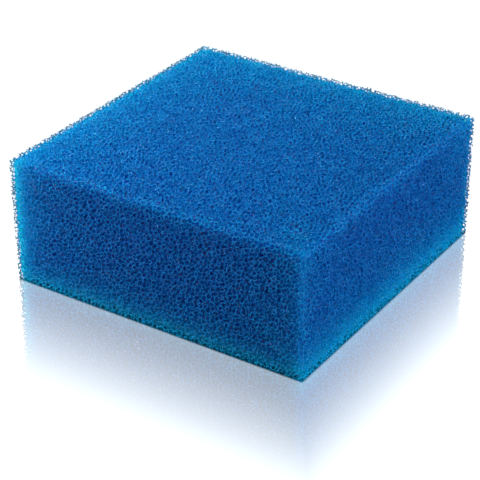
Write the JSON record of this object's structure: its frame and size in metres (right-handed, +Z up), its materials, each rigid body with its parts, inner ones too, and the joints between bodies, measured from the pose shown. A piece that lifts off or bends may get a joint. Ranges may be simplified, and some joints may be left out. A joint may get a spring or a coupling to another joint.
{
  "type": "coarse filter sponge",
  "caption": "Square block of coarse open-cell foam that fills a filter chamber; water passes through it and dirt stays in its cells.",
  "frame": {"origin": "centre of the bottom face, on the surface the block rests on", "axes": "+Z up through the block's thickness; +X and +Y square to its four equal sides"},
  "size_m": [0.125, 0.125, 0.05],
  "materials": {
    "foam": "matte"
  },
  "bodies": {
    "root": {"foam_block": "foam"}
  },
  "joints": []
}
